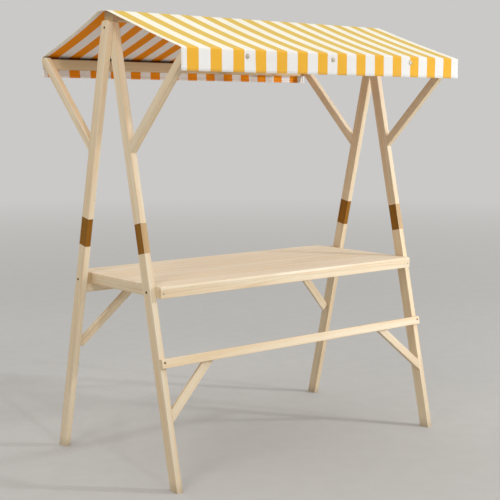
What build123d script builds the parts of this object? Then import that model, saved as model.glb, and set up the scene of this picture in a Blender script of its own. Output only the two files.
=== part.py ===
from build123d import *
import math
import os

# Wooden market stall: two A-frames, a counter held between them, and a gable canopy of striped cloth.
# X runs along the counter, Y to the rear, Z up. The origin is on the floor, midway between the four feet.
# Millimetres throughout.

# Timber sections
LEG_THICKNESS = 31.0          # leg, brace and beam thickness, measured along X on a leg
LEG_WIDTH = 57.0              # leg width, square to its length
RAIL_THICKNESS = 20.0         # rails and braces at and below the counter
RAIL_HEIGHT = 42.0            # the same for every rail and brace
EASE = 2.5                    # rounding of every long edge
LEG_ROUND = 18.0              # rounding of a leg's top corners, seen from the end
BRACE_ROUND = 11.0            # the same for an upper brace

# A-frames
FRAME_LENGTH = 1757.0         # over the outer faces of the rear legs
FOOT_SPREAD = 991.0           # over the outer edges of the feet, front to rear
LEAN_HEIGHT = 2202.0          # height at which the outer edges of a pair of legs would meet
LEG_TOP = 2097.0              # level cut at the top of every leg
JOINT_MIDDLE = 1118.0         # height of the middle of a splice
JOINT_LENGTH = 138.0
SPLICE_INSET = 2.0            # how far the splice core stands back from the leg's faces
COVER_THICKNESS = 2.5         # light strip over the outer side of the core

# Counter
COUNTER_TOP = 910.0
TABLETOP_THICKNESS = 12.0
COUNTER_FRONT = 337.0         # from the middle of the stall to the front edge
COUNTER_REAR = 388.0          # and to the rear edge
SPACER_LENGTH = 46.0
REAR_FIXING = 277.0           # middle of the spacer blocks and of the rail between the rear legs

# Rails and braces below the counter
FRONT_RAIL_TOP = 588.0        # top edge of the lower front rail
FRONT_BRACE_FOOT = 307.0      # where the lower edge of the brace meets the leg
FRONT_BRACE_ANGLE = 42.3      # from level, in the plane of the front legs
REAR_BRACE_FOOT = 558.0       # where the upper corner of the brace meets the leg
BRACE_SEAT = 6.0              # flat trimmed on the square end of a rear brace, to bear on the leg

# Ridge and eaves
RIDGE_WIDTH = 70.0            # ridge beam, laid from the front legs' outer edges to the rear
RIDGE_HEIGHT = 42.0
CANOPY_FALL = 187.0           # from the top of the ridge beam down to the tops of the upper braces
EAVE_REACH = 583.0            # outer faces of the eave beams, from the middle of the stall
BEAM_SET = 7.0                # how far an eave beam lies below the tops of its braces
BEAM_HEIGHT = 50.0
BRACE_RISE = 6.0              # height of an upper brace's middle line over the corner of the eave

# Canopy cloth
CLOTH = 3.0
CLOTH_SET_IN = 3.0            # ends of the cloth, in from the outer faces of the rear legs
VALANCE_DROP = 95.0

OVERRUN = 120.0               # extra length on a bar before its ends are trimmed

# Worked out from the sizes above
LEAN = math.atan2(FOOT_SPREAD / 2, LEAN_HEIGHT)
LEG_LEVEL_WIDTH = LEG_WIDTH / math.cos(LEAN)
REAR_LEG_X = FRAME_LENGTH / 2 - LEG_THICKNESS / 2
FRONT_LEG_X = REAR_LEG_X - LEG_THICKNESS
REAR_INSIDE = REAR_LEG_X - LEG_THICKNESS / 2
FRONT_INSIDE = FRONT_LEG_X - LEG_THICKNESS / 2
FRAME_TOP = COUNTER_TOP - TABLETOP_THICKNESS
FRAME_LOW = FRAME_TOP - RAIL_HEIGHT
RIDGE_TOP = LEG_TOP + RIDGE_HEIGHT
BRACE_TOP = RIDGE_TOP - CANOPY_FALL
BRACE_LIFT = BRACE_TOP - EAVE_REACH + BRACE_RISE
RIDGE_FRONT = LEG_TOP * math.tan(LEAN) - FOOT_SPREAD / 2
RIDGE_REAR = RIDGE_FRONT + RIDGE_WIDTH
CANOPY_LENGTH = FRAME_LENGTH - 2 * CLOTH_SET_IN

SIDES = {"left": -1, "right": 1}
ENDS = {"front": -1, "rear": 1}


def outer_edge(height):
    """Distance from the middle of the stall to the outer edge of a leg."""
    return FOOT_SPREAD / 2 - height * math.tan(LEAN)


def leg_middle(height):
    return outer_edge(height) - LEG_LEVEL_WIDTH / 2


def trim(solid, *planes):
    """Cut the solid by each plane and keep what lies behind it."""
    for plane in planes:
        solid = split(solid, bisect_by=plane, keep=Keep.BOTTOM)
    return solid


def timber(start, end, across, thickness, width, *cuts):
    """A bar with eased edges along start to end, its thickness along across, trimmed by the cuts."""
    axis = Vector(*end) - Vector(*start)
    spare = OVERRUN if cuts else 0
    origin = Vector(*start) - axis.normalized() * spare
    section = Plane(origin=origin, x_dir=across, z_dir=axis)
    bar = extrude(section * RectangleRounded(thickness, width, EASE), amount=axis.length + 2 * spare)
    return trim(bar, *cuts)


def leg_axis(end, height):
    """A point on the middle line of a leg, front or rear, in its own vertical plane."""
    return end * leg_middle(height), height


def up_the_leg(end):
    """Unit vector up the length of a leg."""
    return Vector(0, -end * math.sin(LEAN), math.cos(LEAN))


def joint_end(x, end, above):
    """Middle of the leg at one end of its splice."""
    shift = JOINT_LENGTH / 2 if above else -JOINT_LENGTH / 2
    return Vector(x, *leg_axis(end, JOINT_MIDDLE)) + up_the_leg(end) * shift


def square_cut(x, end, above):
    """The cut square to a leg at one end of its splice, facing the splice."""
    direction = up_the_leg(end) * (-1 if above else 1)
    return Plane(origin=joint_end(x, end, above), x_dir=(1, 0, 0), z_dir=direction)


def level_cut(height, upward):
    return Plane(origin=(0, 0, height), x_dir=(1, 0, 0), z_dir=(0, 0, 1 if upward else -1))


def end_cut(position, direction):
    """A vertical cut across X, keeping the side that the direction points away from."""
    return Plane(origin=(position, 0, 0), x_dir=(0, 1, 0), z_dir=(direction, 0, 0))


def sawn_timber(x, end, outline, corner_round, *cuts):
    """A timber sawn to an outline seen from the end of the stall, its top corners rounded."""
    points = [(end * y, z) for y, z in outline]
    face = make_face(Polyline(*points, close=True))
    face = fillet(face.vertices().group_by(Axis.Y)[-1], corner_round)
    solid = extrude(Plane.YZ.offset(x) * face, amount=LEG_THICKNESS / 2, both=True)
    rims = solid.faces().filter_by(Axis.X).edges()
    return trim(fillet(rims, EASE), *cuts)


# Legs, each in two lengths with a splice between them


def leg(x, end, *cuts):
    low = -OVERRUN
    outer = [(outer_edge(low), low), (outer_edge(LEG_TOP), LEG_TOP)]
    inner = [(y - LEG_LEVEL_WIDTH, z) for y, z in reversed(outer)]
    return sawn_timber(x, end, outer + inner, LEG_ROUND, *cuts)


def lower_leg(x, end):
    return leg(x, end, level_cut(0, False), square_cut(x, end, False))


def upper_leg(x, end):
    return leg(x, end, square_cut(x, end, True))


def splice_box(x, end, thickness, near, far):
    """A block filling the splice between two depths, both measured in from the leg's outer edge."""
    outward = Vector(0, end * math.cos(LEAN), math.sin(LEAN))
    origin = joint_end(x, end, False) + outward * (LEG_WIDTH / 2 - (near + far) / 2)
    section = Plane(origin=origin, x_dir=(1, 0, 0), z_dir=up_the_leg(end))
    return extrude(section * Rectangle(thickness, far - near), amount=JOINT_LENGTH)


def splice_core(x, end):
    return splice_box(x, end, LEG_THICKNESS - 2 * SPLICE_INSET, COVER_THICKNESS, LEG_WIDTH - SPLICE_INSET)


def splice_cover(x, end):
    return splice_box(x, end, LEG_THICKNESS, 0, COVER_THICKNESS)


def upper_brace(x, end):
    """Brace rising at 45 degrees from the outer edge of a leg to the corner of the eave."""
    half = RAIL_HEIGHT / math.sqrt(2)
    outline = [
        (0, BRACE_LIFT - half),
        (EAVE_REACH, BRACE_LIFT - half + EAVE_REACH),
        (EAVE_REACH, BRACE_TOP),
        (BRACE_TOP - BRACE_LIFT - half, BRACE_TOP),
        (0, BRACE_LIFT + half),
    ]
    leg_face = Plane(
        origin=(x, end * outer_edge(0), 0),
        x_dir=(1, 0, 0),
        z_dir=(0, -end * math.cos(LEAN), -math.sin(LEAN)),
    )
    return sawn_timber(x, end, outline, BRACE_ROUND, leg_face)


# Beams that the cloth hangs on


def beam(half_length, y, z, depth, height):
    return timber((-half_length, y, z), (half_length, y, z), (0, 1, 0), depth, height)


def ridge_beam():
    middle = (RIDGE_FRONT + RIDGE_REAR) / 2
    return beam(REAR_INSIDE, middle, LEG_TOP + RIDGE_HEIGHT / 2, RIDGE_WIDTH, RIDGE_HEIGHT)


def eave_beam(end):
    inside = FRONT_INSIDE if end < 0 else REAR_INSIDE
    y = end * (EAVE_REACH - LEG_THICKNESS / 2)
    return beam(inside, y, BRACE_TOP - BEAM_SET - BEAM_HEIGHT / 2, LEG_THICKNESS, BEAM_HEIGHT)


# Counter


def tabletop():
    middle = (COUNTER_REAR - COUNTER_FRONT) / 2
    depth = COUNTER_REAR + COUNTER_FRONT
    z = COUNTER_TOP - TABLETOP_THICKNESS / 2
    board = Box(2 * FRONT_INSIDE, depth, TABLETOP_THICKNESS)
    return Pos(0, middle, z) * fillet(board.edges().group_by(Axis.Z)[-1], EASE)


def apron(y):
    return beam(FRONT_INSIDE, y, FRAME_TOP - RAIL_HEIGHT / 2, RAIL_THICKNESS, RAIL_HEIGHT)


def end_rail(side):
    x = side * (FRONT_INSIDE - RAIL_THICKNESS / 2)
    z = FRAME_TOP - RAIL_HEIGHT / 2
    front = (x, -(COUNTER_FRONT - RAIL_THICKNESS), z)
    rear = (x, COUNTER_REAR - RAIL_THICKNESS, z)
    return timber(front, rear, (1, 0, 0), RAIL_THICKNESS, RAIL_HEIGHT)


def spacer_block(side):
    """Block that fills the space between a rear leg and the end of the counter."""
    x = side * (REAR_INSIDE + FRONT_INSIDE) / 2
    z = (COUNTER_TOP + FRAME_LOW) / 2
    return Pos(x, REAR_FIXING, z) * Box(REAR_INSIDE - FRONT_INSIDE, SPACER_LENGTH, COUNTER_TOP - FRAME_LOW)


def rear_rail():
    """Rail between the rear legs, tight under the ends of the counter frame."""
    return beam(REAR_INSIDE, REAR_FIXING, FRAME_LOW - RAIL_HEIGHT / 2, RAIL_THICKNESS, RAIL_HEIGHT)


# Rails and braces in the sloping planes of the legs


def front_plane():
    """Plane of the front legs' outer faces: local x along the stall, local y up the slope."""
    return Plane(
        origin=(0, -outer_edge(0), 0),
        x_dir=(1, 0, 0),
        z_dir=(0, -math.cos(LEAN), math.sin(LEAN)),
    )


def rear_plane():
    """Middle plane of the rear legs: local x along the stall, local y up the slope."""
    return Plane(
        origin=(0, leg_middle(0), 0),
        x_dir=(1, 0, 0),
        z_dir=(0, -math.cos(LEAN), -math.sin(LEAN)),
    )


def up_slope(height):
    """Distance up a sloping plane that reaches the given height."""
    return height / math.cos(LEAN)


def sloping_bar(plane, start, end, depth, *cuts):
    """A rail or brace between two points of a sloping plane, its middle at a depth behind the plane."""
    ends = [plane.from_local_coords(Vector(x, y, -depth)) for x, y in (start, end)]
    return timber(*ends, plane.z_dir, RAIL_THICKNESS, RAIL_HEIGHT, *cuts)


def lower_front_rail():
    middle = up_slope(FRONT_RAIL_TOP) - RAIL_HEIGHT / 2
    return sloping_bar(front_plane(), (-REAR_INSIDE, middle), (REAR_INSIDE, middle), -RAIL_THICKNESS / 2)


def lower_front_brace(side):
    """Brace from the inner face of a front leg up behind the lower rail."""
    plane = front_plane()
    angle = math.radians(FRONT_BRACE_ANGLE)
    foot = up_slope(FRONT_BRACE_FOOT) + RAIL_HEIGHT / 2 / math.cos(angle)
    head = up_slope(FRONT_RAIL_TOP)
    start = (side * FRONT_INSIDE, foot)
    end = (side * (FRONT_INSIDE - (head - foot) / math.tan(angle)), head)
    top = Plane(origin=plane.from_local_coords(Vector(0, head, 0)), x_dir=(1, 0, 0), z_dir=plane.y_dir)
    return sloping_bar(plane, start, end, RAIL_THICKNESS / 2, end_cut(side * FRONT_INSIDE, side), top)


def rear_brace(side):
    """Brace at 45 degrees from the underside of the rear rail down to a leg, its foot cut square."""
    plane = rear_plane()
    across = RAIL_HEIGHT / 2 / math.sqrt(2)
    foot_x = REAR_INSIDE + BRACE_SEAT / 2 - across
    foot_y = up_slope(REAR_BRACE_FOOT) - across
    head_y = up_slope(FRAME_LOW - RAIL_HEIGHT)
    start = (side * foot_x, foot_y)
    end = (side * (foot_x - (head_y - foot_y)), head_y)
    square = plane.from_local_coords(Vector(*start, 0))
    downward = square - plane.from_local_coords(Vector(*end, 0))
    foot = Plane(origin=square, x_dir=plane.z_dir, z_dir=downward)
    top = level_cut(FRAME_LOW - RAIL_HEIGHT, True)
    return sloping_bar(plane, start, end, 0, foot, end_cut(side * REAR_INSIDE, side), top)


# Canopy: one cloth over the ridge and both eaves, here as five flat panels


def cloth_panel(points):
    """A panel of cloth from its outline across the stall, as long as the canopy."""
    outline = Plane.YZ * make_face(Polyline(*points, close=True))
    return extrude(outline, amount=CANOPY_LENGTH / 2, both=True)


def ridge_corner(end):
    """Inner and outer corner of the cloth where it bends over an edge of the ridge beam."""
    y = RIDGE_FRONT if end < 0 else RIDGE_REAR
    pitch = math.atan2(CANOPY_FALL, EAVE_REACH - abs(y))
    bend = CLOTH * math.tan(pitch / 2)
    return (y, RIDGE_TOP), (y + end * bend, RIDGE_TOP + CLOTH), pitch


def ridge_panel():
    front_inner, front_outer, _ = ridge_corner(-1)
    rear_inner, rear_outer, _ = ridge_corner(1)
    return cloth_panel([front_inner, rear_inner, rear_outer, front_outer])


def slope_panel(end):
    """The cloth from an edge of the ridge beam to the tops of the upper braces."""
    inner, outer, pitch = ridge_corner(end)
    edge = end * (EAVE_REACH + CLOTH)
    corner = BRACE_TOP + CLOTH / math.cos(pitch) - CLOTH * math.tan(pitch)
    return cloth_panel([inner, (end * EAVE_REACH, BRACE_TOP), (edge, BRACE_TOP), (edge, corner), outer])


def valance(end):
    inner = end * EAVE_REACH
    outer = end * (EAVE_REACH + CLOTH)
    bottom = BRACE_TOP - VALANCE_DROP
    return cloth_panel([(inner, BRACE_TOP), (outer, BRACE_TOP), (outer, bottom), (inner, bottom)])


def build_parts():
    parts = {}
    for end_name, end in ENDS.items():
        leg_x = FRONT_LEG_X if end < 0 else REAR_LEG_X
        for side_name, side in SIDES.items():
            corner = f"{end_name}_{side_name}"
            x = side * leg_x
            parts[f"{corner}_lower_leg"] = lower_leg(x, end)
            parts[f"{corner}_upper_leg"] = upper_leg(x, end)
            parts[f"{corner}_splice_core"] = splice_core(x, end)
            parts[f"{corner}_splice_cover"] = splice_cover(x, end)
            parts[f"{corner}_upper_brace"] = upper_brace(x, end)
    for side_name, side in SIDES.items():
        parts[f"{side_name}_end_rail"] = end_rail(side)
        parts[f"{side_name}_spacer_block"] = spacer_block(side)
        parts[f"lower_front_{side_name}_brace"] = lower_front_brace(side)
        parts[f"rear_{side_name}_brace"] = rear_brace(side)
    for end_name, end in ENDS.items():
        parts[f"{end_name}_eave_beam"] = eave_beam(end)
        parts[f"canopy_{end_name}_slope"] = slope_panel(end)
        parts[f"{end_name}_valance"] = valance(end)
    parts["ridge_beam"] = ridge_beam()
    parts["canopy_ridge"] = ridge_panel()
    parts["tabletop"] = tabletop()
    parts["front_apron"] = apron(-(COUNTER_FRONT - RAIL_THICKNESS / 2))
    parts["rear_apron"] = apron(COUNTER_REAR - RAIL_THICKNESS / 2)
    parts["lower_front_rail"] = lower_front_rail()
    parts["rear_cross_rail"] = rear_rail()
    return parts


os.makedirs("parts", exist_ok=True)
for name, shape in build_parts().items():
    export_step(shape, f"parts/{name}.step")
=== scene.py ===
"""Wooden market stall: finishes for its timbers, one striped cloth over the canopy, its fixings and a stage.

All lengths are in metres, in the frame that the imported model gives.
"""

import math
import random

import bmesh
import bpy
from bpy.props import FloatProperty, FloatVectorProperty, IntProperty, PointerProperty
from mathutils import Matrix, Vector


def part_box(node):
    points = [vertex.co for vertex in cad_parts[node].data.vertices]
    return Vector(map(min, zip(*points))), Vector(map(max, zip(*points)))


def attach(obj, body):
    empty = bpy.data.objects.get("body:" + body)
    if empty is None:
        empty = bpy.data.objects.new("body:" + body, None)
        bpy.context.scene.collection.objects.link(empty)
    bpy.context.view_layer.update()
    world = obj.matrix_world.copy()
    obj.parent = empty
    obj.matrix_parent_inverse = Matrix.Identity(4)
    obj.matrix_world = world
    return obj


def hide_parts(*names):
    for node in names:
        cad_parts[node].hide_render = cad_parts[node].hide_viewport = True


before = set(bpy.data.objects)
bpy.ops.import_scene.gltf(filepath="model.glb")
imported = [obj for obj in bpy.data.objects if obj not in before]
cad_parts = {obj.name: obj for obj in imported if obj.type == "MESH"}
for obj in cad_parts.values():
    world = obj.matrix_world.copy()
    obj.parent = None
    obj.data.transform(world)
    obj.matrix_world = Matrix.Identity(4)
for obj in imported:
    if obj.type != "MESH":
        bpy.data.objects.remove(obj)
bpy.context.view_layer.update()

bl_info = {
    "name": "Market stall dressing",
    "version": (1, 0, 0),
    "blender": (4, 5, 0),
    "location": "3D View > Sidebar > Stall",
    "description": "Timber finishes, a striped canopy cloth, fixings and a stage for a wooden market stall",
    "category": "Object",
}

# Ends and sides of the stall, along X and along Y
LEFT = -1
RIGHT = 1
FRONT = -1
REAR = 1

# Boxes of the parts that the cloth and the fixings are placed by
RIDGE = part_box("ridge_beam")
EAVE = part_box("rear_eave_beam")
CLOTH_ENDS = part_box("canopy_ridge")
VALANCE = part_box("rear_valance")
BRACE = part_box("rear_left_upper_brace")
REAR_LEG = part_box("rear_left_upper_leg")
FRONT_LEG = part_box("front_left_upper_leg")
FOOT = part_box("rear_left_lower_leg")
END_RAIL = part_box("right_end_rail")
FRONT_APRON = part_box("front_apron")
REAR_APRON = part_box("rear_apron")
LOWER_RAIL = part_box("lower_front_rail")

LEG_WIDTH = 0.057  # width of a leg, square to its length
LEAN_HEIGHT = 2.202  # height at which the outer edges of a pair of legs would meet
LEAN = math.atan2(FOOT[1].y, LEAN_HEIGHT)


# Settings


def colour_setting(name, description, default):
    return FloatVectorProperty(
        name=name, description=description, subtype="COLOR", size=3, min=0, max=1, default=default)


def length_setting(name, description, default, least=0.0):
    return FloatProperty(
        name=name, description=description, unit="LENGTH", subtype="DISTANCE", min=least, default=default)


def power_setting(name, description, default):
    return FloatProperty(name=name, description=description, unit="POWER", min=0, default=default)


def strength_setting(name, description, default):
    return FloatProperty(name=name, description=description, min=0, default=default)


class TimberSettings(bpy.types.PropertyGroup):
    pale: colour_setting("Pale wood", "Colour of the early growth between two rings", (0.86, 0.745, 0.56))
    ring: colour_setting("Ring", "Colour of the late growth that draws the grain", (0.60, 0.42, 0.23))
    splice: colour_setting("Splice wood", "Colour of the dark wood of the splices", (0.31, 0.142, 0.016))
    cover: colour_setting("Cover wood", "Colour of the tan strips over the splices", (0.60, 0.44, 0.25))
    # Partly a paler board, partly painted light: the tabletop is made paler to stand in for light on its
    # top.
    board: colour_setting("Tabletop wood", "Colour of the paler board of the counter", (0.99, 0.905, 0.735))
    # Painted shade: the beams under the cloth and the counter's spacers are given a darker, duller wood that
    # stands in for the shade they sit in.
    beam: colour_setting(
        "Beam wood", "Colour of the duller wood of the beams and the counter's spacers",
        (0.70, 0.58, 0.38))
    ring_spacing: length_setting("Ring spacing", "Distance between two growth rings", 0.0052, least=0.001)
    seed: IntProperty(name="Seed", description="Which part of the tree each timber is cut from", default=11)


class ClothSettings(bpy.types.PropertyGroup):
    yellow: colour_setting("Yellow", "Colour of the coloured stripes", (0.87, 0.465, 0.030))
    white: colour_setting("White", "Colour of the white stripes", (0.85, 0.85, 0.845))
    # Painted reflection: the stripes on the roof's slopes get a yellower tone that stands in for grazing
    # light on the canvas, not sun fading.
    painted_sheen_yellow: colour_setting(
        "Faded yellow", "Colour of the coloured stripes where the sun has faded them",
        (0.73, 0.495, 0.044))
    painted_sheen_white: colour_setting(
        "Faded white", "Colour of the white stripes where dust and sun have yellowed them",
        (0.91, 0.89, 0.77))
    stripe: length_setting("Stripe", "Width of a coloured stripe", 0.0615, least=0.005)
    pitch: length_setting(
        "Stripe pitch", "From the start of a coloured stripe to the start of the next",
        0.1239, least=0.01)
    first: length_setting(
        "First stripe", "From the left edge of the cloth to its first coloured stripe",
        0.0279)
    thickness: length_setting("Thickness", "Thickness of the canvas", 0.0008, least=0.0002)
    hem: length_setting("Hem", "Width of cloth turned under along each edge", 0.011, least=0.005)
    sag: length_setting(
        "Sag", "How far the cloth hangs below a straight line from the ridge to an eave",
        0.005)
    flare: length_setting("Flare", "How far the cloth's left edge stands out at the ridge", 0.008)
    cell: length_setting("Cell", "Size of the mesh's squares on the flat of the cloth", 0.014, least=0.004)


class FixingSettings(bpy.types.PropertyGroup):
    bolt_radius: length_setting("Bolt head radius", "Radius of a bolt's head", 0.0052, least=0.002)
    screw_radius: length_setting("Screw head radius", "Radius of a wood screw's head", 0.0045, least=0.001)
    stud_radius: length_setting("Stud radius", "Radius of a press stud's cap", 0.011, least=0.002)


class StageSettings(bpy.types.PropertyGroup):
    floor: length_setting("Floor", "Half the width of the studio floor", 45, least=3)
    key: power_setting("Key light", "Power of the key light at the front right", 640)
    left: power_setting("Left light", "Power of the light that is aimed at the left pair of legs", 250)
    right: power_setting("Right light", "Power of the light that is aimed at the right pair of legs", 410)
    fill: power_setting("Fill light", "Power of the soft light above the left end", 62)
    sky: strength_setting("Sky", "Strength of the light from all round", 0.26)
    overhead: strength_setting("Overhead light", "How much stronger the light from straight above is", 0.80)
    backdrop: strength_setting("Backdrop", "Brightness of the backdrop, as bright as the floor", 0.59)


# Shader building

# Sockets of a Mix node, several of which share a name
MIX_FACTOR = 0
MIX_NUMBERS = (2, 3)
MIX_COLOURS = (6, 7)
MIX_COLOUR_OUTPUT = 2


class Value:
    """A value that changes over a surface. Arithmetic on it adds Math nodes."""

    def __init__(self, finish, socket):
        self.finish = finish
        self.socket = socket

    def math(self, operation, *others):
        return self.finish.add("ShaderNodeMath", {"operation": operation}, dict(enumerate([self, *others])))

    def __add__(self, other):
        return self.math("ADD", other)

    def __sub__(self, other):
        return self.math("SUBTRACT", other)

    def __mul__(self, other):
        return self.math("MULTIPLY", other)

    def __truediv__(self, other):
        return self.math("DIVIDE", other)

    def __pow__(self, other):
        return self.math("POWER", other)

    def __radd__(self, other):
        return self + other

    def __rmul__(self, other):
        return self * other

    def __rsub__(self, other):
        return self.finish.add("ShaderNodeMath", {"operation": "SUBTRACT"}, {0: other, 1: self})

    def __abs__(self):
        return self.math("ABSOLUTE")

    def clamp(self):
        return self.finish.add("ShaderNodeClamp", {}, {"Value": self})


class Finish:
    """A material or a world that is being put together node by node."""

    def __init__(self, owner):
        self.owner = owner
        owner.use_nodes = True
        self.tree = owner.node_tree
        self.tree.nodes.clear()

    def add(self, kind, settings, values, output=0):
        """Add a node of this kind: its settings first, then the values or links of its sockets."""
        node = self.tree.nodes.new(kind)
        for name, setting in settings.items():
            setattr(node, name, setting)
        for name, value in values.items():
            if isinstance(value, Value):
                self.tree.links.new(value.socket, node.inputs[name])
            elif value is not None:
                node.inputs[name].default_value = value
        return Value(self, node.outputs[output]) if len(node.outputs) else None

    def parts(self, vector):
        """The three numbers of a vector."""
        first = self.add("ShaderNodeSeparateXYZ", {}, {0: vector})
        return [Value(self, output) for output in first.socket.node.outputs]

    def stretch(self, vector, scale):
        """A vector with each of its numbers scaled."""
        return self.add("ShaderNodeVectorMath", {"operation": "MULTIPLY"}, {0: vector, 1: scale})

    def noise(self, vector, scale, detail=2.0, roughness=0.5):
        """Noise between 0 and 1; a scale of three numbers stretches it."""
        if isinstance(scale, tuple):
            vector = self.stretch(vector, scale)
            scale = 1.0
        values = {"Vector": vector, "Scale": scale, "Detail": detail, "Roughness": roughness}
        return self.add("ShaderNodeTexNoise", {}, values)

    def ramp(self, value, low, high):
        """Rises evenly from 0 at low to 1 at high."""
        return ((value - low) / (high - low)).clamp()

    def blend(self, amount, first, second, way="MIX"):
        """Mix two colours, each a value or three numbers."""
        settings = {"data_type": "RGBA", "blend_type": way, "clamp_factor": True}
        values = {MIX_FACTOR: amount}
        for socket, colour in zip(MIX_COLOURS, (first, second)):
            values[socket] = colour if isinstance(colour, Value) else (*colour, 1)
        return self.add("ShaderNodeMix", settings, values, MIX_COLOUR_OUTPUT)

    def paint(self, colour, roughness, height=None, distance=0.0, metallic=0.0, sheen=0.0, gloss=0.5):
        """A shader of this colour and roughness; the height stands up by as much as the distance."""
        bump = None
        if height is not None:
            bump = self.add("ShaderNodeBump", {}, {"Strength": 1.0, "Distance": distance, "Height": height})
        values = {
            "Base Color": colour, "Roughness": roughness, "Metallic": metallic, "Normal": bump,
            "Sheen Weight": sheen, "Specular IOR Level": gloss,
        }
        return self.add("ShaderNodeBsdfPrincipled", {}, values)

    def close(self, shader, output="ShaderNodeOutputMaterial"):
        """Join the shader to the output, and hand over the material or world."""
        self.add(output, {}, {"Surface": shader})
        return self.owner


def tinted(colour, factors):
    """A colour times three factors, or times one for all."""
    if isinstance(factors, float):
        factors = (factors,) * 3
    return tuple(c * f for c, f in zip(colour, factors))


# Timber finishes

FRONT_BRACE_RISE = math.radians(42.3)  # slope of the lower front rail's braces, in the plane of the legs
REAR_BRACE_RISE = math.radians(45)  # slope of the rear rail's braces

PITH_REACH = (0.030, 0.070)  # how far from a timber's middle line the pith may lie
LOG_REACH = (-4, 4)  # where along the tree a timber may be cut
TINT_REACH = (0.93, 1.05)  # how much lighter or darker a timber may be
RING_WAVER = 0.012  # how far the rings waver
RING_DRIFT = 0.018  # how far they drift over the length of a timber
KNOT_WAVER = 0.06  # how uneven a knot's outline is
DAMP_HEIGHT = 0.05  # how high the damp rises in the feet
DAMP_EVEN = 0.35  # how much of it is even; the rest follows the streaks
WOOD_BUMP = 0.00035  # depth of the grain

# Gloss of stained, sawn and planed wood
STAINED = 0.12
SAWN = 0.3
PLANED = 0.5

DAMP_COLOUR = (0.16, 0.12, 0.08)

# What a warm streak, a knot and a cut end leave of the colour under them
STREAK_TINT = (0.93, 0.80, 0.64)
KNOT_TINT = 0.42
END_TINT = (0.9, 0.85, 0.8)

# How strongly each mark colours the wood, how far it stands up and how rough it is
WOOD_MARKS = {
    "streak": 0.85, "ring": 0.34, "fibre": 0.28, "halo": 0.35, "knot": 0.7, "end": 0.30, "damp": 0.45,
}
WOOD_RELIEF = {"ring": -0.25, "fibre": 0.55, "knot": 0.35, "bend": 0.2}
WOOD_ROUGHNESS = {"base": 0.44, "fibre": 0.20, "end": 0.2}


def up_the_leg(end):
    """Direction of a front or rear leg, from its foot to the ridge."""
    return Vector((0, -end * math.sin(LEAN), math.cos(LEAN)))


def grain_of(node):
    """Direction of the fibres in a timber, from what the timber is."""
    side = LEFT if "left" in node else RIGHT
    end = FRONT if "front" in node else REAR
    if "leg" in node or "splice" in node:
        return up_the_leg(end)
    if "upper_brace" in node:
        return Vector((0, end, 1)).normalized()
    if "brace" in node:
        rise = FRONT_BRACE_RISE if end == FRONT else REAR_BRACE_RISE
        return (Vector((-side, 0, 0)) * math.cos(rise) + up_the_leg(end) * math.sin(rise)).normalized()
    if "end_rail" in node or "spacer" in node:
        return Vector((0, 1, 0))
    return Vector((1, 0, 0))


def wood_of(node, settings):
    """Colour of a timber's wood, and how much it shines."""
    if "splice_core" in node:
        return settings.splice, STAINED
    if "splice_cover" in node:
        return settings.cover, SAWN
    # Partly a paler board, partly painted light on the counter's top.
    if node == "tabletop":
        return settings.board, PLANED
    # Painted shade: the beams and spacers get the darker wood for the shade they sit in.
    if "beam" in node or "spacer" in node:
        return settings.beam, SAWN
    return settings.pale, PLANED


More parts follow.
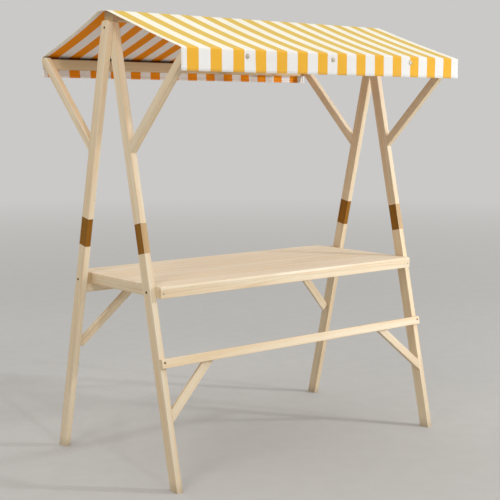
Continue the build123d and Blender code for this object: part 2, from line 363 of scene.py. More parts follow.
def timber_finish(node, settings, chance):
    """Solid wood: growth rings round a pith, fibres along the grain, a few knots, and damp in the feet."""
    grain = grain_of(node)
    wood, gloss = wood_of(node, settings)
    low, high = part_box(node)
    turn = grain.rotation_difference(Vector((1, 0, 0)))
    pith_angle = chance.uniform(0, 2 * math.pi)
    pith = chance.uniform(*PITH_REACH)
    cut = Vector((chance.uniform(*LOG_REACH), pith * math.cos(pith_angle), pith * math.sin(pith_angle)))
    tint = chance.uniform(*TINT_REACH)

    finish = Finish(bpy.data.materials.new(f"{node}_wood"))
    place = finish.add("ShaderNodeTexCoord", {}, {}, "Object")
    values = {"Vector": place, "Rotation": turn.to_euler(), "Location": cut - turn @ ((low + high) / 2)}
    along = finish.add("ShaderNodeMapping", {"vector_type": "POINT"}, values)

    bend = finish.noise(along, scale=(1.4, 9, 9))
    drift = finish.noise(along, scale=(0.6, 5, 5), detail=1.0)
    _, across, up = finish.parts(along)
    radius = (across * across + up * up) ** 0.5
    radius = radius + (bend - 0.5) * RING_WAVER + (drift - 0.5) * RING_DRIFT
    growth = (radius / settings.ring_spacing).math("FRACT")
    late = finish.ramp(growth, 0.35, 0.86) * (1 - finish.ramp(growth, 0.90, 1.0))
    fibre = finish.noise(along, scale=(9, 420, 420), detail=3.0, roughness=0.6)
    streak = finish.noise(along, scale=(1.1, 34, 34), detail=3.0, roughness=0.55)

    values = {"Vector": finish.stretch(along, (0.9, 8, 8)), "Scale": 1.0}
    spot = finish.add("ShaderNodeTexVoronoi", {"feature": "F1"}, values)
    spot = spot + (finish.noise(along, scale=(20, 40, 40)) - 0.5) * KNOT_WAVER
    knot = 1 - finish.ramp(spot, 0.035, 0.065)
    halo = 1 - finish.ramp(spot, 0.05, 0.16)

    normal = finish.add("ShaderNodeTexCoord", {}, {}, "Normal")
    facing = finish.add("ShaderNodeVectorMath", {"operation": "DOT_PRODUCT"}, {0: normal, 1: grain}, "Value")
    cut_end = finish.ramp(abs(facing), 0.80, 0.95)
    _, _, height = finish.parts(place)
    damp = DAMP_EVEN + (1 - DAMP_EVEN) * finish.ramp(streak, 0.3, 0.7)
    damp = damp * (1 - finish.ramp(height, 0.0, DAMP_HEIGHT))

    ring = tinted(wood, [r / p for r, p in zip(settings.ring, settings.pale)])
    pale = tuple(min(part * tint, 1) for part in wood)
    warm = tinted(pale, STREAK_TINT)
    colour = finish.blend(finish.ramp(streak, 0.36, 0.68) * WOOD_MARKS["streak"], pale, warm)
    colour = finish.blend(late * WOOD_MARKS["ring"], colour, ring)
    colour = finish.blend(finish.ramp(fibre, 0.45, 0.75) * WOOD_MARKS["fibre"], colour, ring)
    colour = finish.blend(halo * WOOD_MARKS["halo"], colour, ring)
    colour = finish.blend(knot * WOOD_MARKS["knot"], colour, tinted(ring, KNOT_TINT))
    colour = finish.blend(cut_end * WOOD_MARKS["end"], colour, tinted(ring, END_TINT))
    colour = finish.blend(damp * WOOD_MARKS["damp"], colour, DAMP_COLOUR)

    roughness = WOOD_ROUGHNESS["base"] + fibre * WOOD_ROUGHNESS["fibre"] + cut_end * WOOD_ROUGHNESS["end"]
    relief = late * WOOD_RELIEF["ring"] + fibre * WOOD_RELIEF["fibre"]
    relief = relief + knot * WOOD_RELIEF["knot"] + bend * WOOD_RELIEF["bend"]
    return finish.close(finish.paint(colour, roughness, relief, WOOD_BUMP, gloss=gloss))


class STALL_OT_finish_timber(bpy.types.Operator):
    """Give every timber of the stall its own cut of pine, and the splices a dark wood"""

    bl_idname = "stall.finish_timber"
    bl_label = "Finish the timbers"

    def execute(self, context):
        settings = context.scene.stall_timber
        chance = random.Random(settings.seed)
        for node in sorted(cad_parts):
            if "canopy" in node or "valance" in node:
                continue
            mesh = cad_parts[node].data
            mesh.materials.clear()
            mesh.materials.append(timber_finish(node, settings, chance))
        return {"FINISHED"}


# Canopy cloth

CLEARANCE = 0.0002  # air between the cloth and what it lies on
BEND_RADIUS = 0.008  # of the cloth's bends over the ridge and the eaves
BEND_STEP = math.radians(18)  # turn from one point of a bend to the next
HEM_GAP = 0.0014  # from the middle of the cloth to the middle of the hem under it
HEM_STEPS = 4  # to a hem's half turn
HEM_ROWS = (1, 0.6, 0.25)  # rows of the mesh across a hem, as shares of its width

# Unevenness along the cloth: waves with their rate, phase and size, and what they add up to at most, about
WAVE_COUNT = 7
WAVE_SEED = 5
WAVE_RATES = (5, 26)
WAVE_PHASES = (0, 6.3)
WAVE_SIZES = (0.4, 1)
WAVE_SUM = 3.2

SLOPE_START = 0.04  # from the middle of the stall to where a slope starts to sag
SLOPE_END = 0.002  # how far below the top of the eaves it ends
SLOPE_RIPPLE = 0.0011  # how far the ripples stand up there
SIDE_STIFFNESS = 0.35  # how much less the slopes sag at the cloth's two sides
FREE_DROP = 0.030  # from the top of the eaves to where a valance hangs free
FREE_RIPPLE = 0.0022  # how far the ripples stand out at its lower edge
FREE_RATE = 1.3  # how much shorter a valance's ripples are than a slope's
FREE_CURVE = 1.4  # how much more its lower edge moves than the rest
TUCK = 0.007  # how far the left end of the rear valance hangs in
TUCK_START = 0.55  # where that starts, as a share of half the cloth's width
FLARE_WIDTH = 0.25  # how far from the left edge the flare starts
FLARE_FALL = 2.2  # how soon it fades down the slope


def rounded(points, radius, step):
    """Points of a line with its corners rounded, close together in the bends and a step apart between."""
    line = [Vector(points[0])]
    for before, corner, after in zip(points, points[1:], points[2:]):
        into = (Vector(corner) - Vector(before)).normalized()
        out = (Vector(after) - Vector(corner)).normalized()
        turn = into.angle_signed(out)
        reach = radius * math.tan(abs(turn) / 2)
        start = Vector(corner) - into * reach
        centre = start + Vector((-into.y, into.x)) * (radius if turn < 0 else -radius)
        count = max(2, round(abs(turn) / BEND_STEP))
        line.append(start)
        for k in range(1, count + 1):
            spin = Matrix.Rotation(-turn * k / count, 2)
            line.append(centre + spin @ (start - centre))
    line.append(Vector(points[-1]))
    fine = [line[0]]
    for a, b in zip(line, line[1:]):
        count = max(1, round((b - a).length / step))
        fine += [a.lerp(b, k / count) for k in range(1, count + 1)]
    return fine


class Hang:
    """The hung cloth as a surface: a place on the flat cloth gives a point in space."""

    def __init__(self, settings):
        self.settings = settings
        lift = VALANCE[1].y - EAVE[1].y - settings.thickness / 2 - CLEARANCE
        self.eave = EAVE[1].y + lift
        self.top = BRACE[1].z + lift
        self.low = VALANCE[0].z
        ridge = RIDGE[1].z + lift
        corners = [
            (-self.eave, self.low), (-self.eave, self.top), (RIDGE[0].y, ridge),
            (RIDGE[1].y, ridge), (self.eave, self.top), (self.eave, self.low),
        ]
        self.line = rounded(corners, BEND_RADIUS, settings.cell)
        self.lengths = [0.0]
        for a, b in zip(self.line, self.line[1:]):
            self.lengths.append(self.lengths[-1] + (b - a).length)
        self.length = self.lengths[-1]
        self.width = CLOTH_ENDS[1].x - CLOTH_ENDS[0].x
        chance = random.Random(WAVE_SEED)
        self.waves = [
            (chance.uniform(*WAVE_RATES), chance.uniform(*WAVE_PHASES), chance.uniform(*WAVE_SIZES))
            for _ in range(WAVE_COUNT)
        ]

    def ripple(self, x, shift):
        """A slow unevenness along the cloth, between about -1 and 1; each shift gives another."""
        total = 0.0
        for k, (rate, phase, size) in enumerate(self.waves):
            total += size * math.sin(rate * x + phase + shift * (1 + k))
        return total / WAVE_SUM

    def on_line(self, s):
        """Point and outward direction of the profile at a length along it."""
        k = min(max(sum(1 for v in self.lengths if v < s) - 1, 0), len(self.line) - 2)
        a, b = self.line[k], self.line[k + 1]
        share = (s - self.lengths[k]) / (self.lengths[k + 1] - self.lengths[k])
        before = self.line[max(k - 1, 0)]
        after = self.line[min(k + 2, len(self.line) - 1)]
        first = (b - before).normalized()
        second = (after - a).normalized()
        way = first.lerp(second, share).normalized()
        return a.lerp(b, share), Vector((-way.y, way.x))

    def point(self, s, x, depth):
        """Point in space: s along the profile, x along the stall, and a depth under the cloth's face."""
        spot, out = self.on_line(min(max(s, 0), self.length))
        y, z = spot
        push = -depth
        slope = (abs(y) - SLOPE_START) / (self.eave - SLOPE_START)
        if 0 < slope < 1 and z > self.top - SLOPE_END:
            hollow = 4 * slope * (1 - slope)
            slack = 1 - SIDE_STIFFNESS * abs(2 * x / self.width) ** 4
            push -= hollow * self.settings.sag * slack
            push += hollow * SLOPE_RIPPLE * self.ripple(x, shift=1 if y < 0 else 2)
        free_top = self.top - FREE_DROP
        hang = (free_top - z) / (free_top - self.low)
        if hang > 0:
            free = hang ** FREE_CURVE
            push += free * FREE_RIPPLE * self.ripple(x * FREE_RATE, shift=3 if y < 0 else 4)
            if y > 0:
                push -= free * TUCK * max(0, -2 * x / self.width - TUCK_START) / (1 - TUCK_START)
        near_ridge = max(0, 1 - slope * FLARE_FALL) if z > self.top else 0
        near_left = max(0, (-x - self.width / 2 + FLARE_WIDTH) / FLARE_WIDTH)
        x -= self.settings.flare * near_ridge ** 1.5 * near_left ** 2
        return Vector((x, y + out.x * push, z + out.y * push))


def turned_under(stations, hem):
    """Stations along a line with its ends folded back under.

    Each is given as its place on the line, its depth below it and its place when flat.
    """
    first, last = stations[0], stations[-1]
    bend = HEM_GAP / 2
    arc = [math.pi * k / HEM_STEPS for k in range(1, HEM_STEPS)]
    fold = [(bend * (1 - math.sin(a)), bend * (1 - math.cos(a)), bend * a) for a in arc]
    inner = [hem * share for share in HEM_ROWS]
    rows = []
    for reach in inner:
        rows.append((first + bend + reach, HEM_GAP, first - reach - bend * math.pi + bend))
    for into, depth, out in reversed(fold):
        rows.append((first + into, depth, first - out + bend))
    for place in stations:
        if first + bend <= place <= last - bend:
            rows.append((place, 0.0, place))
    for into, depth, out in fold:
        rows.append((last - into, depth, last + out - bend))
    for reach in reversed(inner):
        rows.append((last - bend - reach, HEM_GAP, last + reach + bend * math.pi - bend))
    return rows


def cloth_mesh(settings):
    """The canopy as one sheet with its edges turned under, its flat size, and where its hem starts."""
    hang = Hang(settings)
    count = round(hang.width / settings.cell)
    columns = [CLOTH_ENDS[0].x + hang.width * k / count for k in range(count + 1)]
    columns = turned_under(columns, settings.hem)
    rows = turned_under(hang.lengths, settings.hem)
    flat_width = columns[-1][2] - columns[0][2]
    flat_length = rows[-1][2] - rows[0][2]
    mesh = bmesh.new()
    layer = mesh.loops.layers.uv.new("flat_cloth")
    flats = {}
    grid = []
    for s, s_depth, s_flat in rows:
        line = []
        for x, x_depth, x_flat in columns:
            vertex = mesh.verts.new(hang.point(s, x, s_depth + x_depth))
            flats[vertex] = ((x_flat - columns[0][2]) / flat_width, (s_flat - rows[0][2]) / flat_length)
            line.append(vertex)
        grid.append(line)
    for low, high in zip(grid, grid[1:]):
        for k in range(len(low) - 1):
            face = mesh.faces.new((low[k], low[k + 1], high[k + 1], high[k]))
            face.smooth = True
            for loop in face.loops:
                loop[layer].uv = flats[loop.vert]
    data = bpy.data.meshes.new("canopy_cloth")
    mesh.to_mesh(data)
    mesh.free()
    return data, flat_width, flat_length, columns[0][2] - CLOTH_ENDS[0].x


# Canvas

THREAD = 0.0011  # from one thread to the next
STRIPE_WAVER = 0.0012  # how far the edge of a stripe wavers
STRIPE_BLUR = 0.0003  # how far it is blurred to each side
HEM_BLUR = 0.001  # how far the inside's painted shade colour is blurred at a hem's fold
SEAM_INSET = 0.004  # from the inner edge of a hem to its seam
SEAM_WIDTH = (0.0005, 0.0012)  # half the width of its groove, at the bottom and in all
STITCH = 0.0045  # from one stitch to the next
STITCH_SHARE = 0.72  # how much of that the stitch covers
SHEEN_REACH = (-0.010, 0.050)  # where the painted sheen on the slopes starts and ends, from the fold at the eave
CREASE = (0.004, 0.010)  # how far the painted shade in the crease over the eave beam reaches from the fold, dense and in all
CANVAS_BUMP = 0.0007  # depth of the weave and the creases

# Colour of the painted shade in the crease where the cloth turns over an eave beam
CREASE_SHADE_COLOUR = (0.05, 0.038, 0.026)
DUST_COLOUR = (0.52, 0.46, 0.38)
STITCH_COLOUR = (0.74, 0.70, 0.60)

# What the inside of the cloth leaves of the stripes' colours, a darker, deeper copy that is painted shade
# with painted light through the canvas; and what the painted shade in the creases and along the thicker
# threads leaves of them
SHADED_INSIDE_YELLOW = (0.97, 0.60, 0.20)
SHADED_INSIDE_WHITE = (0.99, 0.97, 0.98)
SHADE_TINT = 0.72

# How strongly each mark colours the canvas, how far it stands up and how rough it is
CANVAS_MARKS = {"crease_shade": 0.85, "soft": 0.10, "slub": 0.07, "dust": 0.16, "stitch": 0.25}
CANVAS_RELIEF = {"weave": 0.10, "slub": 0.18, "soft": 1.2, "seam": -0.5, "stitch": 0.4, "pucker": 0.5}
CANVAS_ROUGHNESS = {"base": 0.78, "slub": 0.12}


def stripes(finish, settings, across, width, whole):
    """1 on the coloured stripes, 0 on the white ones. Past the right edge it keeps its last value."""
    jitter = finish.noise(whole, scale=(60, 5, 0))
    middle = settings.first + settings.stripe / 2
    shown = across.math("MINIMUM", width)
    phase = ((shown + (jitter - 0.5) * STRIPE_WAVER - middle) / settings.pitch + 0.5).math("FRACT")
    off = abs(phase - 0.5) * settings.pitch
    return 1 - finish.ramp(off, settings.stripe / 2 - STRIPE_BLUR, settings.stripe / 2 + STRIPE_BLUR)


def cloth_finish(name, settings, flat_width, flat_length, hem_start, under):
    """Striped canvas: woven threads, a stitched hem, soft creases and a little dust, with painted shade in
    the creases and along the fold over each eave, a browner inside that is painted shade, and a painted
    reflection that yellows the slopes.
    """
    finish = Finish(bpy.data.materials.new(name))
    flat = finish.add("ShaderNodeUVMap", {"uv_map": "flat_cloth"}, {})
    u, v, _ = finish.parts(flat)
    whole = finish.stretch(flat, (flat_width, flat_length, 0))
    width = flat_width + 2 * hem_start
    length = flat_length + 2 * hem_start
    across = u * flat_width + hem_start
    along = v * flat_length
    back = along + hem_start
    edge_u = across.math("MINIMUM", width - across)
    edge_v = back.math("MINIMUM", length - back)
    edge = edge_u.math("MINIMUM", edge_v)
    drop = VALANCE[1].z - VALANCE[0].z

    weave = (across * (2 * math.pi / THREAD)).math("SINE") * (along * (2 * math.pi / THREAD)).math("SINE")
    slub = finish.noise(whole, scale=(700, 45, 0))
    soft = finish.noise(whole, scale=(3, 3, 0), detail=4.0, roughness=0.6)
    dust = finish.noise(whole, scale=(14, 6, 0), detail=4.0, roughness=0.65)
    seam = 1 - finish.ramp(abs(edge - (settings.hem - SEAM_INSET)), *SEAM_WIDTH)
    values = {MIX_FACTOR: edge_u.math("LESS_THAN", edge_v), MIX_NUMBERS[0]: across, MIX_NUMBERS[1]: along}
    run = finish.add("ShaderNodeMix", {"data_type": "FLOAT"}, values)
    stitch = seam * ((run / STITCH).math("FRACT").math("LESS_THAN", STITCH_SHARE))
    pucker = (1 - finish.ramp(edge, 0.0, settings.hem)) * finish.noise(whole, scale=(90, 90, 0), detail=1.0)

    stripe = stripes(finish, settings, across, width, whole)
    # The inside's colours are the stripes darkened and deepened: painted shade, with painted light through
    # the canvas.
    shaded_inner_yellow = tinted(settings.yellow, SHADED_INSIDE_YELLOW)
    inner = finish.blend(stripe, tinted(settings.white, SHADED_INSIDE_WHITE), shaded_inner_yellow)
    if under:
        # Painted shade: a thin dark band along the crease over each eave beam stands in for the shadow in
        # the gap between cloth and beam.
        crease_shade = 1 - finish.ramp(abs(edge_v - drop), *CREASE)
        colour = finish.blend(crease_shade * CANVAS_MARKS["crease_shade"], inner, CREASE_SHADE_COLOUR)
        shade_colour = tinted(shaded_inner_yellow, SHADE_TINT)
    else:
        fresh = finish.blend(stripe, settings.white, settings.yellow)
        # Painted reflection: the slopes turn yellower above the eaves, standing in for grazing light on the
        # canvas.
        slope_sheen = finish.blend(stripe, settings.painted_sheen_white, settings.painted_sheen_yellow)
        colour = finish.blend(finish.ramp(edge_v, drop + SHEEN_REACH[0], drop + SHEEN_REACH[1]), fresh, slope_sheen)
        # The turned-under hem on the outside takes the inside's painted shade colours.
        colour = finish.blend(1 - finish.ramp(edge_v, -HEM_BLUR, HEM_BLUR), colour, inner)
        shade_colour = tinted(settings.yellow, SHADE_TINT)
    # Painted shade: the colour is darkened over the soft creases and along the thicker threads.
    shade = finish.ramp(soft, 0.3, 0.75) * CANVAS_MARKS["soft"]
    shade = shade + finish.ramp(slub, 0.4, 0.8) * CANVAS_MARKS["slub"]
    colour = finish.blend(shade, colour, shade_colour, "MULTIPLY")
    colour = finish.blend(finish.ramp(dust, 0.58, 0.80) * CANVAS_MARKS["dust"], colour, DUST_COLOUR)
    colour = finish.blend(stitch * CANVAS_MARKS["stitch"], colour, STITCH_COLOUR)

    roughness = CANVAS_ROUGHNESS["base"] + slub * CANVAS_ROUGHNESS["slub"]
    relief = weave * CANVAS_RELIEF["weave"] + slub * CANVAS_RELIEF["slub"] + soft * CANVAS_RELIEF["soft"]
    relief = relief + seam * CANVAS_RELIEF["seam"] + stitch * CANVAS_RELIEF["stitch"]
    relief = relief + pucker * CANVAS_RELIEF["pucker"]
    looks = {"sheen": 0.0, "gloss": 0.12} if under else {"sheen": 0.15, "gloss": 0.3}
    return finish.close(finish.paint(colour, roughness, relief, CANVAS_BUMP, **looks))


class STALL_OT_hang_canopy(bpy.types.Operator):
    """Hang one striped cloth over the ridge beam and both eaves, its edges hemmed"""

    bl_idname = "stall.hang_canopy"
    bl_label = "Hang the canopy"

    def execute(self, context):
        settings = context.scene.stall_cloth
        data, width, length, start = cloth_mesh(settings)
        cloth = bpy.data.objects.new("canopy_cloth", data)
        context.scene.collection.objects.link(cloth)
        data.materials.append(cloth_finish("cloth_outside", settings, width, length, start, under=False))
        data.materials.append(cloth_finish("cloth_inside", settings, width, length, start, under=True))
        bpy.ops.object.select_all(action="DESELECT")
        cloth.select_set(True)
        context.view_layer.objects.active = cloth
        canvas = cloth.modifiers.new("thickness", "SOLIDIFY")
        canvas.thickness = settings.thickness
        canvas.offset = 0
        canvas.material_offset = 1
        bpy.ops.object.modifier_apply(modifier=canvas.name)
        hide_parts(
            "canopy_front_slope", "canopy_rear_slope", "canopy_ridge", "front_valance", "rear_valance")
        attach(cloth, "root")
        return {"FINISHED"}


# Fixings

APEX_BOLT_HEIGHT = 2.065
COUNTER_BOLT_HEIGHT = 0.881
REAR_BOLT_REACH = 0.275  # from the middle of the stall back to the counter's rear bolts
RAIL_BOLT_REACH = 0.832  # from the middle of the stall out to the lower front rail's bolts
RAIL_BOLT_RISE = 0.004  # how far they sit above the rail's middle line
RAIL_HALF_THICKNESS = 0.010
SCREW_REACH = 0.802  # from the middle of the stall out to an apron's screws
SCREW_HEIGHT = 0.8785
STUD_REACHES = (-0.522, -0.008, 0.517)
STUD_HEIGHT = 1.926
STUD_SEAT = 0.0002  # how far a stud is pressed into the cloth

# Colour of each metal, its colour where the weather has worn it, and its roughness
METALS = {
    "bolt_metal": ((0.10, 0.072, 0.038), (0.15, 0.09, 0.04), 0.42),
    "rail_bolt_metal": ((0.34, 0.27, 0.15), (0.22, 0.16, 0.08), 0.45),
    "nut_metal": ((0.42, 0.40, 0.36), (0.25, 0.20, 0.14), 0.36),
    "screw_metal": ((0.46, 0.43, 0.33), (0.30, 0.25, 0.16), 0.42),
    "stud_metal": ((0.46, 0.42, 0.34), (0.32, 0.27, 0.20), 0.42),
}
WEAR = 0.8  # how strongly the worn colour shows
SPECKLE = 0.35  # how strongly the dark specks show
SPECK_TINT = 0.4  # what they leave of the worn colour
PATCHINESS = 0.25  # how uneven the roughness is
METAL_BUMP = 0.00008  # depth of the weathering

NEAR = 1e-6  # heights closer than this are the same
MERGE = 0.00001  # points closer than this are joined


def metal_finish(name):
    """Plated metal, dulled and speckled by the weather."""
    colour, worn, roughness = METALS[name]
    finish = Finish(bpy.data.materials.new(name))
    place = finish.add("ShaderNodeTexCoord", {}, {}, "Object")
    cloud = finish.noise(place, scale=260, detail=4.0, roughness=0.6)
    speck = finish.noise(place, scale=1400)
    tone = finish.blend(finish.ramp(cloud, 0.42, 0.66) * WEAR, colour, worn)
    tone = finish.blend(finish.ramp(speck, 0.60, 0.72) * SPECKLE, tone, tinted(worn, SPECK_TINT))
    relief = (cloud + speck) * 0.5
    return finish.close(finish.paint(tone, roughness + cloud * PATCHINESS, relief, METAL_BUMP, metallic=0.9))


def open_mesh(name):
    """Name the newest object and open its mesh for editing."""
    piece = bpy.context.object
    piece.name = name
    piece.data.name = name
    bpy.ops.object.mode_set(mode="EDIT")
    return piece


def pick(kind, test):
    """Select the edges or faces of the open mesh whose middle passes the test."""
    bpy.ops.mesh.select_mode(type=kind)
    bpy.ops.mesh.select_all(action="DESELECT")
    data = bpy.context.edit_object.data
    mesh = bmesh.from_edit_mesh(data)
    for item in {"EDGE": mesh.edges, "FACE": mesh.faces}[kind]:
        middle = sum((corner.co for corner in item.verts), Vector()) / len(item.verts)
        if test(middle):
            item.select_set(True)
    mesh.select_flush_mode()
    bmesh.update_edit_mesh(data)


def grow(up, scale=1.0):
    """Extrude the selected ring of edges upwards and scale the new ring."""
    bpy.ops.mesh.extrude_edges_move(TRANSFORM_OT_translate={"value": (0, 0, up)})
    bpy.ops.transform.resize(value=(scale, scale, 1))


def close_mesh(angle=35):
    """Join doubled points, turn the faces outwards, and shade smooth up to an angle in degrees."""
    bpy.ops.mesh.select_all(action="SELECT")
    bpy.ops.mesh.remove_doubles(threshold=MERGE)
    bpy.ops.mesh.normals_make_consistent(inside=False)
    bpy.ops.object.mode_set(mode="OBJECT")
    bpy.ops.object.shade_smooth_by_angle(angle=math.radians(angle))


def socket_bolt(radius):
    """A domed bolt head with a six-sided socket, its seat at the origin and its top up Z."""
    height = radius * 0.62
    crown = radius * 0.62
    socket = radius * 0.42
    depth = radius * 0.42
    bpy.ops.object.select_all(action="DESELECT")
    bpy.ops.mesh.primitive_circle_add(vertices=6, radius=socket, fill_type="NGON", location=(0, 0, 0))
    piece = open_mesh("bolt")
    bpy.ops.mesh.select_all(action="SELECT")
    bpy.ops.transform.translate(value=(0, 0, height - depth))
    bpy.ops.mesh.subdivide(number_cuts=3)
    pick("EDGE", lambda middle: True)
    grow(depth)
    bpy.ops.mesh.select_all(action="DESELECT")
    bpy.ops.mesh.primitive_circle_add(vertices=24, radius=crown, location=(0, 0, height))
    pick("EDGE", lambda middle: middle.z > height - NEAR)
    bpy.ops.mesh.bridge_edge_loops()
    pick("EDGE", lambda middle: middle.z > height - NEAR and middle.xy.length > radius * 0.6)
    for drop, wider in ((0.14, 1.27), (0.26, 1.17), (0.30, 1.08), (0.30, 1.0)):
        grow(-height * drop, wider)
    close_mesh()
    return piece


def hex_nut(radius):
    """A six-sided nut on a washer, the bolt's end showing, its seat at the origin and its top up Z."""
    height = radius * 0.85
    thread = radius * 0.40
    bpy.ops.object.select_all(action="DESELECT")
    bpy.ops.mesh.primitive_circle_add(vertices=24, radius=thread, fill_type="NGON", location=(0, 0, 0))
    piece = open_mesh("nut")
    bpy.ops.mesh.select_all(action="SELECT")
    bpy.ops.transform.translate(value=(0, 0, height * 1.35))
    pick("EDGE", lambda middle: True)
    for drop, wider in ((0.10, 1.2), (0.25, 1.0)):
        grow(-height * drop, wider)
    bpy.ops.mesh.select_all(action="DESELECT")
    bpy.ops.mesh.primitive_circle_add(vertices=6, radius=radius * 0.93, location=(0, 0, height))
    bpy.ops.mesh.subdivide(number_cuts=3)
    pick("EDGE", lambda middle: abs(middle.z - height) < NEAR)
    bpy.ops.mesh.bridge_edge_loops()
    pick("EDGE", lambda middle: abs(middle.z - height) < NEAR and middle.xy.length > radius * 0.6)
    for drop, wider in ((0.12, 1.075), (0.68, 1.0), (0, 1.45), (0.20, 1.0)):
        grow(-height * drop, wider)
    close_mesh()
    return piece


def cross_screw(radius):
    """A flat screw head with a cross recess, its seat at the origin and its top up Z."""
    height = radius * 0.16
    reach = radius * 0.47
    bpy.ops.object.select_all(action="DESELECT")
    bpy.ops.mesh.primitive_grid_add(
        x_subdivisions=3, y_subdivisions=3, size=radius * 0.95, location=(0, 0, 0))
    piece = open_mesh("screw")
    bpy.ops.mesh.select_all(action="SELECT")
    bpy.ops.transform.translate(value=(0, 0, height))
    bpy.ops.mesh.select_all(action="DESELECT")
    bpy.ops.mesh.primitive_circle_add(vertices=12, radius=radius * 0.88, location=(0, 0, height * 0.85))
    pick("EDGE", lambda middle: middle.xy.length > reach * 0.99)
    bpy.ops.mesh.bridge_edge_loops()
    pick("FACE", lambda middle: (
        max(abs(middle.x), abs(middle.y)) < reach and min(abs(middle.x), abs(middle.y)) < reach * 0.2))
    bpy.ops.mesh.extrude_region_move(TRANSFORM_OT_translate={"value": (0, 0, -radius * 0.30)})
    bpy.ops.transform.resize(value=(0.8, 0.8, 1))
    pick("EDGE", lambda middle: middle.xy.length > radius * 0.80)
    for drop, wider in ((0.45, 1.136), (0.40, 1.0)):
        grow(-height * drop, wider)
    close_mesh(angle=30)
    return piece


def press_stud(radius):
    """A domed stud cap with a rolled rim, its seat at the origin and its top up Z."""
    profile = [
        (0.00, 0.92), (0.05, 0.98), (0.13, 1.00), (0.20, 0.97), (0.24, 0.90),
        (0.21, 0.80), (0.25, 0.62), (0.29, 0.40), (0.31, 0.18),
    ]
    bpy.ops.object.select_all(action="DESELECT")
    bpy.ops.mesh.primitive_circle_add(vertices=28, radius=radius * profile[0][1], location=(0, 0, 0))
    piece = open_mesh("stud")
    for (low, inner), (high, outer) in zip(profile, profile[1:]):
        grow((high - low) * radius, outer / inner)
    grow(0.004 * radius, 0.5)
    bpy.ops.mesh.merge(type="CENTER")
    close_mesh(angle=60)
    return piece


def set_in_place(pattern, name, places, material):
    """Copy one fixing to every place, each given as a point and the way its top faces, as a single piece."""
    mesh = bmesh.new()
    for point, facing in places:
        turn = Vector((0, 0, 1)).rotation_difference(Vector(facing)).to_matrix().to_4x4()
        copy = pattern.data.copy()
        copy.transform(Matrix.Translation(point) @ turn)
        mesh.from_mesh(copy)
        bpy.data.meshes.remove(copy)
    data = bpy.data.meshes.new(name)
    mesh.to_mesh(data)
    mesh.free()
    data.materials.append(material)
    piece = bpy.data.objects.new(name, data)
    bpy.context.scene.collection.objects.link(piece)
    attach(piece, "root")


def leg_middle(height):
    """Distance from the middle of the stall to a leg's middle line."""
    return FOOT[1].y - height * math.tan(LEAN) - LEG_WIDTH / math.cos(LEAN) / 2


class STALL_OT_fit_bolts(bpy.types.Operator):
    """Bolt the legs together under the ridge, and the counter and the lower front rail to the legs"""

    bl_idname = "stall.fit_bolts"
    bl_label = "Fit the bolts"

    def execute(self, context):
        settings = context.scene.stall_fixings
        bolt = socket_bolt(settings.bolt_radius)
        nut = hex_nut(settings.bolt_radius)
        bronze = metal_finish("bolt_metal")
        brass = metal_finish("rail_bolt_metal")
        zinc = metal_finish("nut_metal")
        apex_bolts = []
        apex_nuts = []
        counter_bolts = []
        counter_nuts = []
        rail_bolts = []
        off_the_rail = Vector((0, -math.cos(LEAN), math.sin(LEAN)))
        rail = (LOWER_RAIL[0] + LOWER_RAIL[1]) / 2
        for side in (LEFT, RIGHT):
            outwards = (side, 0, 0)
            inwards = (-side, 0, 0)
            apex_bolts.append(((side * abs(REAR_LEG[0].x), 0, APEX_BOLT_HEIGHT), outwards))
            apex_nuts.append(((side * abs(FRONT_LEG[1].x), 0, APEX_BOLT_HEIGHT), inwards))
            for leg, y in ((FRONT_LEG, -leg_middle(COUNTER_BOLT_HEIGHT)), (REAR_LEG, REAR_BOLT_REACH)):
                counter_bolts.append(((side * abs(leg[0].x), y, COUNTER_BOLT_HEIGHT), outwards))
                counter_nuts.append(((side * abs(END_RAIL[0].x), y, COUNTER_BOLT_HEIGHT), inwards))
            seat = Vector((side * RAIL_BOLT_REACH, rail.y, rail.z)) + off_the_rail * RAIL_HALF_THICKNESS
            rail_bolts.append((seat + up_the_leg(FRONT) * RAIL_BOLT_RISE, off_the_rail))
        set_in_place(bolt, "apex_bolts", apex_bolts, bronze)
        set_in_place(nut, "apex_nuts", apex_nuts, zinc)
        set_in_place(bolt, "counter_bolts", counter_bolts, bronze)
        set_in_place(nut, "counter_nuts", counter_nuts, zinc)
        set_in_place(bolt, "lower_rail_bolts", rail_bolts, brass)
        bpy.data.objects.remove(bolt)
        bpy.data.objects.remove(nut)
        return {"FINISHED"}


class STALL_OT_fit_screws(bpy.types.Operator):
    """Screw both aprons to the end rails of the counter"""

    bl_idname = "stall.fit_screws"
    bl_label = "Fit the screws"

    def execute(self, context):
        screw = cross_screw(context.scene.stall_fixings.screw_radius)
        places = []
        for side in (LEFT, RIGHT):
            places.append(((side * SCREW_REACH, FRONT_APRON[0].y, SCREW_HEIGHT), (0, FRONT, 0)))
            places.append(((side * SCREW_REACH, REAR_APRON[1].y, SCREW_HEIGHT), (0, REAR, 0)))
        set_in_place(screw, "apron_screws", places, metal_finish("screw_metal"))
        bpy.data.objects.remove(screw)
        return {"FINISHED"}


class STALL_OT_fit_studs(bpy.types.Operator):
    """Hold the valances to the eave beams with press studs"""

    bl_idname = "stall.fit_studs"
    bl_label = "Fit the press studs"

    def execute(self, context):
        stud = press_stud(context.scene.stall_fixings.stud_radius)
        face = VALANCE[1].y - STUD_SEAT
        places = []
        for x in STUD_REACHES:
            for end in (FRONT, REAR):
                places.append(((x, end * face, STUD_HEIGHT), (0, end, 0)))
        set_in_place(stud, "valance_studs", places, metal_finish("stud_metal"))
        bpy.data.objects.remove(stud)
        return {"FINISHED"}


# Stage

BACKDROP_COLOUR = (1.0, 0.99, 0.97, 1)
SKY_COLOUR = (1.0, 0.985, 0.955, 1)
FLOOR_COLOURS = ((0.515, 0.51, 0.50), (0.535, 0.53, 0.52))
FLOOR_FADE = (5.0, 16.0)  # distances at which the floor starts and ends turning into the backdrop

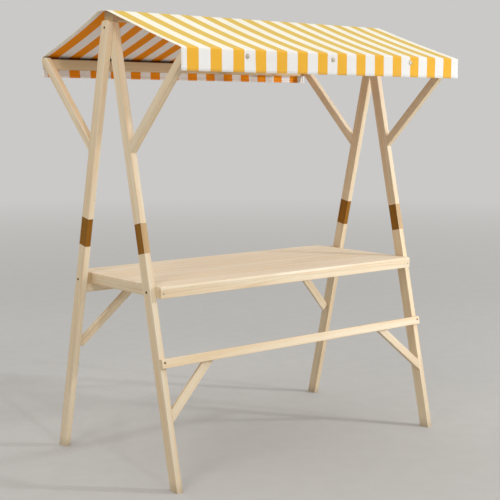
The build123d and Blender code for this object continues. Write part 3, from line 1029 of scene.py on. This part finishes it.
# Lamps, each named for the setting that holds its power; one with an aim is a spot, its spread in degrees
LAMPS = {
    "key": {"place": (4.6, -5.0, 3.9), "radius": 0.25, "colour": (0.985, 0.995, 1.0)},
    "left": {
        "place": (-1.9, -5.8, 3.0), "radius": 0.20, "colour": (1.0, 1.0, 1.0),
        "aim": (-0.85, 0.0, 1.5), "spread": 38,
    },
    "right": {
        "place": (3.2, -4.6, 1.62), "radius": 0.15, "colour": (0.96, 0.98, 1.0),
        "aim": (0.95, 0.0, 1.15), "spread": 34,
    },
    "fill": {"place": (-2.6, -1.0, 3.3), "radius": 0.45, "colour": (1.0, 0.95, 0.88)},
}

# Camera at the photograph's viewing angle: turn in degrees, lens and sensor in millimetres
CAMERA_PLACE = (-3.6063, -4.3367, 1.6868)
CAMERA_TURN = (82.249, 0, -38.973)
CAMERA_LENS = 79.35
CAMERA_SENSOR = 36
CAMERA_SHIFT = (0.0231, 0.0238)
CAMERA_REACH = 200


def lay_floor(settings):
    """A plain pale floor that turns into the even backdrop far from the stall."""
    bpy.ops.object.select_all(action="DESELECT")
    bpy.ops.mesh.primitive_plane_add(size=2 * settings.floor, location=(0, 0, 0))
    floor = bpy.context.object
    floor.name = "studio_floor"
    finish = Finish(bpy.data.materials.new("floor_paint"))
    place = finish.add("ShaderNodeTexCoord", {}, {}, "Object")
    cloud = finish.noise(place, scale=9.0, detail=3.0)
    paint = finish.paint(finish.blend(finish.ramp(cloud, 0.3, 0.7), *FLOOR_COLOURS), 0.9)
    glow = finish.add("ShaderNodeEmission", {}, {"Color": BACKDROP_COLOUR, "Strength": settings.backdrop})
    distance = finish.add("ShaderNodeVectorMath", {"operation": "LENGTH"}, {0: place}, "Value")
    values = {0: finish.ramp(distance, *FLOOR_FADE), 1: paint, 2: glow}
    floor.data.materials.append(finish.close(finish.add("ShaderNodeMixShader", {}, values)))


def open_sky(settings):
    """Soft light from all round, stronger from above; the camera sees an even backdrop in its place."""
    sky = Finish(bpy.data.worlds.new("studio"))
    _, _, up = sky.parts(sky.add("ShaderNodeTexCoord", {}, {}, "Generated"))
    strength = settings.sky + settings.overhead * up.clamp()
    light = sky.add("ShaderNodeBackground", {}, {"Color": SKY_COLOUR, "Strength": strength})
    seen = sky.add("ShaderNodeBackground", {}, {"Color": BACKDROP_COLOUR, "Strength": settings.backdrop})
    to_camera = sky.add("ShaderNodeLightPath", {}, {}, "Is Camera Ray")
    shown = sky.add("ShaderNodeMixShader", {}, {0: to_camera, 1: light, 2: seen})
    bpy.context.scene.world = sky.close(shown, "ShaderNodeOutputWorld")


def hang_lamp(name, power, place, radius, colour, aim=None, spread=0):
    """A round lamp; with an aim it is a spot that fades out across its spread."""
    light = bpy.data.lights.new(name, "SPOT" if aim else "POINT")
    light.energy = power
    light.shadow_soft_size = radius
    light.color = colour
    bulb = bpy.data.objects.new(name, light)
    bulb.location = place
    if aim:
        light.spot_size = math.radians(spread)
        light.spot_blend = 1.0
        bulb.rotation_euler = (Vector(aim) - Vector(place)).to_track_quat("-Z", "Y").to_euler()
    bpy.context.scene.collection.objects.link(bulb)


def place_camera(scene):
    """The camera that sees the stall as the photograph shows it."""
    lens = bpy.data.cameras.new("camera")
    lens.sensor_fit = "HORIZONTAL"
    lens.sensor_width = CAMERA_SENSOR
    lens.lens = CAMERA_LENS
    lens.shift_x, lens.shift_y = CAMERA_SHIFT
    lens.clip_end = CAMERA_REACH
    camera = bpy.data.objects.new("camera", lens)
    camera.location = CAMERA_PLACE
    camera.rotation_euler = [math.radians(angle) for angle in CAMERA_TURN]
    scene.collection.objects.link(camera)
    scene.camera = camera


class STALL_OT_set_stage(bpy.types.Operator):
    """Lay a plain pale floor, light the stall from the front, and set the camera"""

    bl_idname = "stall.set_stage"
    bl_label = "Set the stage"

    def execute(self, context):
        settings = context.scene.stall_stage
        lay_floor(settings)
        open_sky(settings)
        for name, lamp in LAMPS.items():
            hang_lamp(f"{name}_light", getattr(settings, name), **lamp)
        place_camera(context.scene)
        context.scene.view_settings.view_transform = "Standard"
        context.scene.view_settings.look = "None"
        return {"FINISHED"}


# Add-on

GROUPS = {
    "stall_timber": TimberSettings,
    "stall_cloth": ClothSettings,
    "stall_fixings": FixingSettings,
    "stall_stage": StageSettings,
}
STEPS = {
    "stall_timber": [STALL_OT_finish_timber],
    "stall_fixings": [STALL_OT_fit_bolts, STALL_OT_fit_screws, STALL_OT_fit_studs],
    "stall_cloth": [STALL_OT_hang_canopy],
    "stall_stage": [STALL_OT_set_stage],
}


class STALL_PT_panel(bpy.types.Panel):
    """The steps of dressing the stall, in order"""

    bl_label = "Market stall"
    bl_idname = "STALL_PT_panel"
    bl_space_type = "VIEW_3D"
    bl_region_type = "UI"
    bl_category = "Stall"

    def draw(self, context):
        for group, steps in STEPS.items():
            box = self.layout.box()
            settings = getattr(context.scene, group)
            for name in settings.__annotations__:
                box.prop(settings, name)
            for step in steps:
                box.operator(step.bl_idname)


def register():
    for group, settings in GROUPS.items():
        bpy.utils.register_class(settings)
        setattr(bpy.types.Scene, group, PointerProperty(type=settings))
    for steps in STEPS.values():
        for step in steps:
            bpy.utils.register_class(step)
    bpy.utils.register_class(STALL_PT_panel)


def unregister():
    bpy.utils.unregister_class(STALL_PT_panel)
    for steps in STEPS.values():
        for step in steps:
            bpy.utils.unregister_class(step)
    for group, settings in GROUPS.items():
        delattr(bpy.types.Scene, group)
        bpy.utils.unregister_class(settings)


def main():
    register()
    bpy.ops.stall.finish_timber()
    bpy.ops.stall.fit_bolts()
    bpy.ops.stall.fit_screws()
    bpy.ops.stall.fit_studs()
    bpy.ops.stall.hang_canopy()
    bpy.ops.stall.set_stage()


if __name__ == "__main__":
    main()
